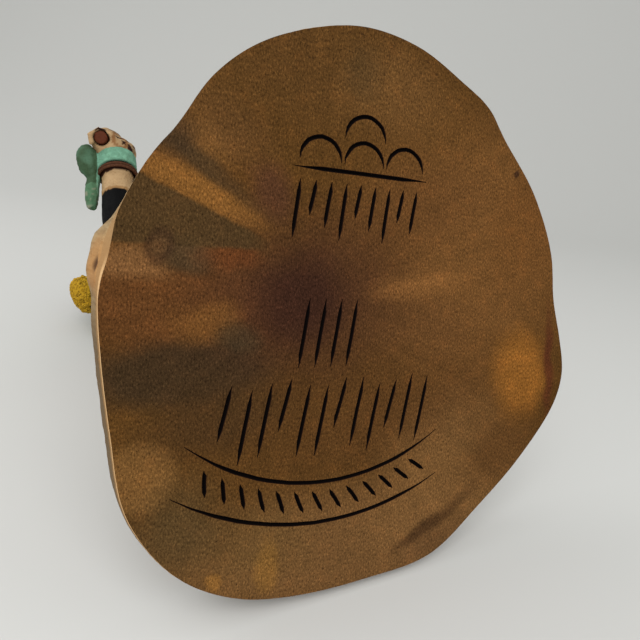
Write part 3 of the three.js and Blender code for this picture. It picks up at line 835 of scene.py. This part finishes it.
class Grower:
    """A Geometry Nodes tree with named number inputs, ending in real geometry with a material."""

    def __init__(self, name, sizes):
        self.tree = bpy.data.node_groups.new(name, "GeometryNodeTree")
        self.sizes = sizes
        self.keys = {}
        sockets = self.tree.interface
        sockets.new_socket("Geometry", in_out="OUTPUT", socket_type="NodeSocketGeometry")
        sockets.new_socket("Geometry", in_out="INPUT", socket_type="NodeSocketGeometry")
        for label in sizes:
            made = sockets.new_socket(label, in_out="INPUT", socket_type="NodeSocketFloat")
            self.keys[label] = made.identifier
        self.start = self.tree.nodes.new("NodeGroupInput").outputs
        self.end = self.tree.nodes.new("NodeGroupOutput").inputs

    def node(self, kind, inputs, **settings):
        """A node with its settings, and each named input joined to a socket or given a value."""
        made = self.tree.nodes.new(kind)
        for key, value in settings.items():
            setattr(made, key, value)
        for key, value in inputs.items():
            if isinstance(value, bpy.types.NodeSocket):
                self.tree.links.new(value, made.inputs[key])
            else:
                made.inputs[key].default_value = value
        return made.outputs

    def chance(self, low, high, seed):
        """A random value for each point: a number, or a vector if the limits are vectors."""
        vectors = isinstance(low, tuple)
        least, most, result = VECTOR_CHANCE if vectors else NUMBER_CHANCE
        kind = "FLOAT_VECTOR" if vectors else "FLOAT"
        limits = {least: low, most: high, CHANCE_SEED: seed}
        return self.node("FunctionNodeRandomValue", limits, data_type=kind)[result]

    def close(self, geometry, material):
        real = self.node("GeometryNodeRealizeInstances", {"Geometry": geometry})
        dressed = self.node("GeometryNodeSetMaterial", {"Geometry": real[0], "Material": material})
        self.tree.links.new(dressed[0], self.end["Geometry"])

    def grow(self, name, mesh):
        """A piece of its own grown from a mesh, turned into plain geometry."""
        piece = link(name, mesh)
        grown = piece.modifiers.new("grow", "NODES")
        grown.node_group = self.tree
        for label, value in self.sizes.items():
            grown[self.keys[label]] = value
        evaluated(piece)
        smooth_faces(piece.data)
        return piece


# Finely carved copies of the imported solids


MERGE_MM = 0.002
RUB_FACTOR = 0.5


def carved(node, name, voxel_mm, smoothing):
    """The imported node's form in fine even faces, with its facets rubbed down."""
    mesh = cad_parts[node].data.copy()
    made = bmesh.new()
    made.from_mesh(mesh)
    bmesh.ops.remove_doubles(made, verts=made.verts, dist=MERGE_MM * MM)
    made.to_mesh(mesh)
    made.free()
    mesh.materials.clear()
    piece = link(name, mesh)
    refine = piece.modifiers.new("refine", "REMESH")
    refine.mode = "VOXEL"
    refine.voxel_size = voxel_mm * MM
    rub = piece.modifiers.new("rub", "SMOOTH")
    rub.factor = RUB_FACTOR
    rub.iterations = smoothing
    evaluated(piece)
    smooth_faces(piece.data)
    return piece


def read_points(mesh):
    points = np.empty(len(mesh.vertices) * 3)
    mesh.vertices.foreach_get("co", points)
    return points.reshape(-1, 3)


def read_normals(mesh):
    normals = np.empty(len(mesh.vertices) * 3)
    mesh.vertices.foreach_get("normal", normals)
    return normals.reshape(-1, 3)


def push_out(mesh, amounts_mm):
    """Moves each point along its normal."""
    points = read_points(mesh) + read_normals(mesh) * (amounts_mm * MM)[:, None]
    mesh.vertices.foreach_set("co", points.ravel())
    mesh.update()


def wood_noise(points_mm, size):
    """Soft noise at each point, with its grain size in millimetres."""
    size = np.broadcast_to(np.array(size, dtype=float), (3,))
    return np.array([noise.noise(Vector(row)) for row in points_mm / size])


def write_colours(mesh, colours):
    layer = mesh.color_attributes.new("paint", "FLOAT_COLOR", "POINT")
    layer.data.foreach_set("color", np.concatenate([colours, np.ones((len(colours), 1))], axis=1).ravel())


# How many times longer than wide the grain shows through the paint
PAINT_GRAIN_DRAW = 9


def painted_material(name, roughness, wear, grain_mm, bump_mm):
    """Paint laid on by hand: the colours on the piece, mottled, worn and a little uneven."""
    finish = Finish(name, roughness, 0.05)
    layer = finish.node("ShaderNodeAttribute", attribute_name="paint")
    tone = layer.outputs["Color"]
    mottle = finish.cloud(5.0, 4.0, 0.6)
    tone = finish.tint(tone, mottle, (0.35, 0.7), 0.4, (0.62, 0.56, 0.5))
    chalk = finish.cloud(1.6, 4.0, 0.6)
    tone = finish.tint(tone, chalk, (0.5, 0.75), wear, (1.9, 1.8, 1.7))
    grain = finish.cloud((grain_mm, grain_mm, grain_mm * PAINT_GRAIN_DRAW), 4.0, 0.6)
    tone = finish.tint(tone, grain, (0.5, 0.7), 0.4, (0.5, 0.42, 0.36))
    relief = finish.math("ADD", grain, chalk)
    return finish.finish(tone, relief, bump_mm)


# Paint colours of the dancer
WOOD = pigment(172, 143, 106)
BLACK = pigment(11, 11, 12)
TURQUOISE = pigment(108, 154, 130)
DEEP_GREEN = pigment(60, 82, 59)
KNOT_TAIL = pigment(78, 112, 84)
KNOT_WORN = pigment(128, 132, 112)
WHITE = pigment(222, 214, 196)
RED = pigment(140, 52, 36)
YELLOW = pigment(184, 144, 38)
CORD_BROWN = pigment(44, 24, 18)
FOX = pigment(146, 104, 62)
SPRUCE = pigment(52, 72, 40)
ROD_BROWN = pigment(88, 46, 29)
# Painted shade for the hollows between the roundels' crumbs
CRUMB_HOLLOW_SHADE = pigment(92, 70, 26)


def sole_middle_mm():
    """The middle between the dancer's soles, just over the slab's top."""
    return np.array((FIGURE_X_MM, FIGURE_Y_MM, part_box("base")[1].z / MM + SOLE_GAP_MM))


def figure_units(points):
    """Points in hundredths of the dancer's height from the middle between its soles."""
    return (points / MM - sole_middle_mm()) / UNIT_MM


def near_line(points, start, way):
    """How far each point is along a line and how far off it."""
    offset = points - np.array(start)
    along = offset @ way
    off = np.linalg.norm(offset - along[:, None] * way, axis=1)
    return along, off


def within(values, band):
    return (values > band[0]) & (values < band[1])


class Coat:
    """The dancer's points in units, with the colour and the fine carving that each one gets."""

    def __init__(self, points):
        self.x, self.y, self.z = points.T
        self.side = np.abs(self.x)
        self.radius = np.hypot(self.x, self.y)
        self.mirrored = np.stack([self.side, self.y, self.z], axis=1)
        self.tone = np.tile(WOOD, (len(points), 1))
        self.relief = np.zeros(len(points))
        self.along, self.off = near_line(self.mirrored, WRIST, FOREARM_LINE)
        self.hanging = (self.off < ARM_REACH) & (self.z > 36) & (self.along < -1.5) & (self.y < -1.5)

    def lay(self, mask, paint):
        self.tone[mask] = paint


# Bands on the dancer, each from and to, and the levels where its parts end, in its units
LEGS_TOP = 23.2
MOCCASIN_TOP = 8.4
MOCCASIN_CUFF = (5.0, 8.4)
SOLE_TOP = 0.9
GARTER = (16.2, 17.6)
KILT = (22.6, 46.4)
KILT_RADIUS = 9.0
KILT_FLARE = 0.14
KILT_HEM_TOP = 24.3
KILT_BORDER = (25.2, 28.6)
KILT_LINE = (28.9, 29.5)
BORDER_PERIOD_DEGREES = 30
BORDER_RED_DEGREES = 10
BELT = (46.2, 49.8)
BELT_RADIUS = 9.2
BELT_STRIPE = (47.4, 48.6)
SASH = (15, 46.5)
SASH_HALF = 3.2
SASH_PANEL = (24, 31)
SASH_BLOCK = (25.5, 29.5)
SASH_LINES = ((31, 31.8), (23.2, 24))
PELT = (8, 47.5)
PELT_HALF = 3.6
PELT_TIP_TOP = 11.8
ARM_REACH = 4.4
ARM_TINT = (-7.6, -6.6)
ARM_BAND = (-14.0, -7.2)
CORD = (-3.2, -1.4)
UPPER_ARM_BAND = (55.2, 59.2)
UPPER_ARM_STRIPE = (56.6, 57.8)
# Painted shade: where the dark crease lines between the fingers lie along the grip
FINGER_CREASE_SHADES = (-1.93, -0.38, 1.18)
FINGER_CREASE_SHADE_HALF = 0.27
FIST_REACH = 6.2
FIST_HALF = 4.6
NECKLACE = (66.5, 70.4)
NECKLACE_REACH = 7.2
RUFF = (71.8, 78.4)
MASK_BOTTOM = 76.0
CAP_BOTTOM = 93.2
CAP_LINE = (92.3, 93.2)
FEATHERS_BOTTOM = 97.5
FEATHER_TIP_BOTTOM = 106.2
FEATHER_BAND = (101.6, 102.4)


def paint_legs(coat):
    legs = coat.z < LEGS_TOP
    coat.lay(legs & (coat.z < MOCCASIN_TOP), RED)
    coat.lay(legs & within(coat.z, MOCCASIN_CUFF), TURQUOISE)
    coat.lay(legs & (coat.z < SOLE_TOP), CORD_BROWN)
    coat.lay(legs & within(coat.z, GARTER), BLACK)


def paint_kilt(coat):
    """The kilt from the belt to the hem, with a banded border, and the belt."""
    reach = KILT_RADIUS + (KILT[1] - coat.z) * KILT_FLARE
    kilt = within(coat.z, KILT) & (coat.radius < reach) & ~coat.hanging
    border = kilt & within(coat.z, KILT_BORDER)
    angle = np.degrees(np.arctan2(coat.y, coat.x))
    coat.lay(kilt, WHITE)
    coat.lay(kilt & (coat.z < KILT_HEM_TOP), BLACK)
    coat.lay(border, DEEP_GREEN)
    coat.lay(border & (np.mod(angle, BORDER_PERIOD_DEGREES) < BORDER_RED_DEGREES), RED)
    coat.lay(kilt & within(coat.z, KILT_LINE), BLACK)
    belt = within(coat.z, BELT) & (coat.radius < BELT_RADIUS)
    coat.lay(belt, RED)
    coat.lay(belt & within(coat.z, BELT_STRIPE), DEEP_GREEN)


def paint_sash(coat):
    """The sash at the right hip."""
    x, y, z = coat.x, coat.y, coat.z
    sash = (x < -7.4) & (np.abs(y) < SASH_HALF) & within(z, SASH) & (-x > 7.0 + (SASH[1] - z) * 0.17)
    sash &= (coat.side < 9.0) | (z < 38)
    coat.lay(sash, WHITE)
    coat.lay(sash & within(z, SASH_PANEL), RED)
    coat.lay(sash & within(z, SASH_BLOCK) & (np.abs(y) < SASH_HALF / 2), DEEP_GREEN)
    for line in SASH_LINES:
        coat.lay(sash & within(z, line), BLACK)


def paint_pelt(coat):
    """The pelt at the back, with its hair."""
    pelt = (coat.y > 4.6 + (46 - coat.z) * 0.13) & (coat.side < PELT_HALF) & within(coat.z, PELT)
    coat.lay(pelt, FOX)
    coat.lay(pelt & (coat.z < PELT_TIP_TOP), WHITE)
    coat.relief[pelt] += 0.35 * np.sin(coat.x[pelt] * 9 + 2.0 * np.sin(coat.z[pelt] * 1.3))


def paint_arms(coat):
    """A black painted band on each forearm, the ground under the wound cord and the upper bands."""
    coat.lay(coat.hanging & within(coat.along, ARM_TINT), WOOD * (0.72, 0.62, 0.5))
    coat.lay(coat.hanging & within(coat.along, ARM_BAND), BLACK)
    coat.lay((coat.off < ARM_REACH) & within(coat.along, CORD) & (coat.off > 2.66), CORD_BROWN)
    upper = (coat.side > 8.6) & within(coat.z, UPPER_ARM_BAND) & (coat.y > -6)
    coat.lay(upper, TURQUOISE)
    coat.lay(upper & within(coat.z, UPPER_ARM_STRIPE), RED)


def paint_hands(coat):
    """Painted shade: dark lines in the creases between the fingers and at the fist's inner side, and a
    dark ring where the fingers close round the handle.
    """
    grip = GRIP_LINE / np.linalg.norm(GRIP_LINE)
    up, out = near_line(coat.mirrored, FIST, grip)
    inward = np.minimum(coat.side - FIST[0], 0)
    fist = np.abs(up) < FIST_HALF
    front = (out < FIST_REACH) & fist & ((coat.y - FIST[1]) < 0.5 - 0.45 * inward)
    # Painted shade in the creases between the fingers, which are also grooved a little
    for place in FINGER_CREASE_SHADES:
        line = front & (np.abs(up - place) < FINGER_CREASE_SHADE_HALF)
        coat.lay(line, CORD_BROWN)
        coat.relief[line] -= 0.25
    # Painted shade in the crease at the fist's inner side
    coat.lay((out < FIST_REACH) & (inward < -1.0) & (np.abs(up + 2.95) < 0.24), CORD_BROWN)
    # Painted shade: a darker ring where the fingers close round the handle
    coat.lay(within(out, (1.0, 1.6)) & fist, WOOD * (0.6, 0.45, 0.35))


def paint_necklace(coat):
    chest = within(coat.z, NECKLACE) & (coat.y < -1.5) & (coat.side < NECKLACE_REACH)
    hang = np.sqrt(np.clip(NECKLACE_REACH ** 2 - coat.side ** 2, 0, None)) * 0.62
    coat.lay(chest & (np.abs(coat.z - (NECKLACE[1] - hang) - 0.4) < 0.8), TURQUOISE)


def paint_mask(coat):
    """The mask with its cap, eyes, snout and side stripes, and the ruff. Gives the ruff's points."""
    x, y, z, side, radius = coat.x, coat.y, coat.z, coat.side, coat.radius
    ruff = within(z, RUFF) & within(radius, (5.4, 13.4))
    skull = (z > MASK_BOTTOM) & (radius < 12.2) & ~((radius > 10.6) & (z < 78.2))
    coat.lay(skull, TURQUOISE)
    coat.lay(skull & (z > CAP_BOTTOM), RED)
    coat.lay(skull & within(z, CAP_LINE), BLACK)
    coat.lay(skull & (np.abs(z - 88.4) < 0.9) & (np.abs(side - 4.2) < 1.9) & (y < 0), BLACK)
    snout = (y < -11.4) & (side < 3.4) & (np.abs(z - 82) < 3.4)
    coat.lay(snout, WHITE)
    coat.lay(snout & (y < -14.2), RED)
    coat.lay(snout & (y < -15.3) & (np.hypot(x, z - 81.75) < 1.2), BLACK)
    coat.lay(skull & (np.abs(side - 8.2) < 0.5) & (y < 0) & (z < CAP_LINE[0]), YELLOW)
    coat.lay(ruff & ~skull, SPRUCE)
    coat.lay(ruff & skull & (radius > 9.4) & (z < 77.2), SPRUCE)
    return ruff & ~skull


def paint_crest(coat):
    feathers = (coat.z > FEATHERS_BOTTOM) & (coat.y > 3.6)
    coat.lay(feathers, WHITE)
    coat.lay(feathers & (coat.z > FEATHER_TIP_BOTTOM), BLACK)
    coat.lay(feathers & within(coat.z, FEATHER_BAND), BLACK)


def dancer_paint(points):
    """The dancer's colours and its finer carving, found from each point's place on the body."""
    coat = Coat(points)
    paint_legs(coat)
    paint_kilt(coat)
    paint_sash(coat)
    paint_pelt(coat)
    paint_arms(coat)
    paint_hands(coat)
    paint_necklace(coat)
    ruff = paint_mask(coat)
    paint_crest(coat)
    return coat.tone, coat.relief, ruff


def make_dancer():
    piece = carved("figure", "carved_dancer", 0.9, 8)
    points = read_points(piece.data)
    units = figure_units(points)
    tone, relief, ruff = dancer_paint(units)
    knife = wood_noise(points / MM, 3.4) * 0.16
    tufted = wood_noise(points / MM, 1.3)
    push_out(piece.data, relief + np.where(ruff, tufted, knife))
    # Painted shade in the hollows of the ruff's tufts and painted light on their tops, following how far
    # each point was pushed out
    ruff_tuft_light_and_shade = np.where(ruff, 0.75 + 0.7 * np.clip(tufted, -0.5, 0.5), 1.0)
    write_colours(piece.data, tone * ruff_tuft_light_and_shade[:, None])
    piece.data.materials.append(painted_material("hand_painted_wood", 0.62, 0.18, 0.9, 0.12))
    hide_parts("figure")
    settle(piece)
    settle(needle_grower.grow("ruff_needles", ruff_faces(piece.data, ruff)))


# The rattle, up from its handle's end
RATTLE_HEAD_MM = 20
RATTLE_BAND_MM = 28
RATTLE_BAND_HALF_MM = 1.4


def make_rattle():
    piece = carved("rattle", "gourd_rattle", 0.5, 5)
    points = read_points(piece.data) / MM
    low = points[:, 2].min()
    tone = np.tile(ROD_BROWN, (len(points), 1))
    head = points[:, 2] > low + RATTLE_HEAD_MM
    tone[head] = TURQUOISE
    band = np.abs(points[:, 2] - (low + RATTLE_BAND_MM)) < RATTLE_BAND_HALF_MM
    tone[band] = WHITE
    push_out(piece.data, wood_noise(points, 2.5) * 0.12)
    write_colours(piece.data, tone)
    piece.data.materials.append(painted_material("painted_gourd", 0.55, 0.12, 0.8, 0.1))
    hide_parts("rattle")
    settle(piece)


# The brown cord wound below each wrist tie, and the spruce needles of the ruff
CORD_TURN_RADIUS_MM = 7.95
CORD_STRAND_MM = 0.62
CORD_TURNS = 2.0
CORD_REACH_MM = 2.7
CORD_BELOW_WRIST_MM = 5.6
NEEDLE_MM = 4.0
NEEDLE_WIDTH_MM = 0.5
NEEDLES_PER_MM2 = 0.4


def cord_tree():
    """A strand wound round an arm."""
    finish = Finish("wound_brown_cord", 0.9, 0.05)
    material = finish.finish(finish.blend(finish.cloud(0.7, 3.0), colour(104, 68, 48), colour(36, 20, 15)))
    grower = Grower("wound_cord", {
        "Turn radius": CORD_TURN_RADIUS_MM * MM, "Strand radius": CORD_STRAND_MM * MM,
        "Turns": CORD_TURNS, "Reach": CORD_REACH_MM * MM})
    start = grower.start
    path = grower.node("GeometryNodeCurveSpiral", {
        "Resolution": 40, "Rotations": start["Turns"], "Start Radius": start["Turn radius"],
        "End Radius": start["Turn radius"], "Height": start["Reach"]})
    strand = grower.node("GeometryNodeCurvePrimitiveCircle", {
        "Resolution": 8, "Radius": start["Strand radius"]})
    tube = grower.node("GeometryNodeCurveToMesh", {
        "Curve": path["Curve"], "Profile Curve": strand["Curve"], "Fill Caps": True})
    grower.close(tube["Mesh"], material)
    return grower


def make_cord(side):
    """Winds the cord round one forearm, just below the wrist."""
    way = Vector(FOREARM_LINE)
    flip = -1 if side == "right" else 1
    foot = Vector(sole_middle_mm())
    wrist = foot + Vector((WRIST[0] * flip, WRIST[1], WRIST[2])) * UNIT_MM
    start = wrist - way * (CORD_BELOW_WRIST_MM + CORD_REACH_MM / 2)
    piece = cord_grower.grow("wound_cord_" + side, bpy.data.meshes.new("cord"))
    turn = way.to_track_quat("Z", "Y").to_matrix().to_4x4()
    piece.data.transform(Matrix.Translation(start * MM) @ turn)
    settle(piece)


def needle_tree():
    """Short thin needles standing out of a face, each leaning its own way."""
    finish = Finish("spruce_needles", 0.8, 0.1)
    material = finish.finish(finish.blend(finish.cloud(2.0, 3.0), colour(40, 62, 34), colour(84, 98, 48)))
    grower = Grower("spruce_needles", {
        "Needle length": NEEDLE_MM * MM, "Needle width": NEEDLE_WIDTH_MM * MM,
        "Needles per area": NEEDLES_PER_MM2 / MM ** 2})
    start = grower.start
    spread = grower.node("GeometryNodeDistributePointsOnFaces", {
        "Mesh": start["Geometry"], "Density": start["Needles per area"], "Seed": 11})
    needle = grower.node("GeometryNodeMeshCone", {
        "Vertices": 4, "Radius Top": 0.0, "Radius Bottom": start["Needle width"],
        "Depth": start["Needle length"]})
    lean = grower.node("FunctionNodeRotateRotation", {
        "Rotation": spread["Rotation"], "Rotate By": grower.chance((-0.9, -0.9, 0.0), (0.9, 0.9, 3.1), 4)},
        rotation_space="LOCAL")
    strewn = grower.node("GeometryNodeInstanceOnPoints", {
        "Points": spread["Points"], "Instance": needle["Mesh"], "Rotation": lean["Rotation"],
        "Scale": grower.chance(0.6, 1.1, 6)})
    grower.close(strewn["Instances"], material)
    return grower


def ruff_faces(mesh, ruff):
    """A copy of the faces of the ruff alone."""
    patch = bmesh.new()
    patch.from_mesh(mesh)
    outside = [vertex for vertex, held in zip(patch.verts, ruff) if not held]
    bmesh.ops.delete(patch, geom=outside, context="VERTS")
    made = bpy.data.meshes.new("ruff_faces")
    patch.to_mesh(made)
    patch.free()
    return made


def make_tie(side):
    piece = carved("wrist_tie_" + side, "painted_tie_" + side, 0.42, 7)
    points = read_points(piece.data)
    units = figure_units(points)
    mirrored = np.stack([np.abs(units[:, 0]), units[:, 1], units[:, 2]], axis=1)
    along, off = near_line(mirrored, WRIST, FOREARM_LINE)
    band = off < 3.7
    tail = (off > 3.7) & (along < -4.5)
    worn = np.clip(wood_noise(points / MM, 4.0) * 1.6 + 0.25, 0, 1)[:, None]
    pale = np.clip(wood_noise(points / MM, (1.6, 1.6, 5.0)) * 2.2 - 0.1, 0, 1)[:, None]
    tone = DEEP_GREEN * (1 - worn * 0.25) + TURQUOISE * worn * 0.25
    tone[tail] = KNOT_TAIL * (1 - pale[tail]) + KNOT_WORN * pale[tail]
    tone[band] = TURQUOISE * (1 + 0.25 * (pale[band] - 0.3))
    tone[band & (off < 3.05)] = CORD_BROWN
    rough = wood_noise(points / MM, 1.6) * np.where(band, 0.08, 0.3)
    push_out(piece.data, rough)
    write_colours(piece.data, tone)
    piece.data.materials.append(painted_material("tie_paint_" + side, 0.62, 0.1, 0.7, 0.12))
    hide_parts("wrist_tie_" + side)
    settle(piece)


# The roundels' crumbs: carved depth, and loose lumps strewn over them
TUFT_CRUMB_MM = 1.1
CRUMB_RADIUS_MM = 0.5
CRUMBS_PER_MM2 = 1.1


def crumb_tree():
    """Small lumps of many sizes strewn over a face."""
    finish = Finish("yellow_crumbs", 0.9, 0.05)
    mottle = finish.between(finish.cloud(1.2, 2.0), 0.3, 0.7)
    tone = finish.blend(mottle, colour(208, 168, 52), colour(138, 106, 30))
    material = finish.finish(tone)
    sizes = {"Crumb radius": CRUMB_RADIUS_MM * MM, "Crumbs per area": CRUMBS_PER_MM2 / MM ** 2}
    grower = Grower("crumbs", sizes)
    start = grower.start
    spread = grower.node("GeometryNodeDistributePointsOnFaces", {
        "Mesh": start["Geometry"], "Density": start["Crumbs per area"], "Seed": 7})
    lump = grower.node("GeometryNodeMeshIcoSphere", {"Radius": start["Crumb radius"], "Subdivisions": 1})
    strewn = grower.node("GeometryNodeInstanceOnPoints", {
        "Points": spread["Points"], "Instance": lump["Mesh"],
        "Rotation": grower.chance((0.0, 0.0, 0.0), (3.1, 3.1, 3.1), 3),
        "Scale": grower.chance((0.5, 0.5, 0.5), (1.3, 1.1, 1.2), 5)})
    grower.close(strewn["Instances"], material)
    return grower


def make_tuft(side):
    piece = carved("ear_tuft_" + side, "yellow_roundel_" + side, 0.42, 4)
    points = read_points(piece.data) / MM
    crumbs = wood_noise(points, 2.1) + 0.5 * wood_noise(points, 1.0)
    deep = np.clip(crumbs, -0.7, 0.15)
    push_out(piece.data, deep * TUFT_CRUMB_MM)
    # Painted shade in the hollows between the crumbs, darker where the surface is pushed deeper in
    hollow_shade = np.clip((-crumbs - 0.05) * 2.2, 0, 1)[:, None]
    tone = YELLOW * (1 - hollow_shade) + CRUMB_HOLLOW_SHADE * hollow_shade
    write_colours(piece.data, tone)
    piece.data.materials.append(painted_material("crumbly_yellow_" + side, 0.8, 0.1, 0.8, 0.2))
    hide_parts("ear_tuft_" + side)
    settle(piece)
    settle(crumb_grower.grow("roundel_crumbs_" + side, piece.data.copy()))


place_camera()
develop()
place_sky()
place_stage()
light("window", KEY_WAY, KEY_DISTANCE_M, KEY_SIZE_M, KEY_POWER_W)
light("upright_fill", FILL_WAY, KEY_DISTANCE_M, KEY_SIZE_M, FILL_POWER_W)

crumb_grower = crumb_tree()
cord_grower = cord_tree()
needle_grower = needle_tree()
make_slab()
make_dancer()
make_rattle()
for hand in ("right", "left"):
    make_tie(hand)
    make_cord(hand)
    make_tuft(hand)
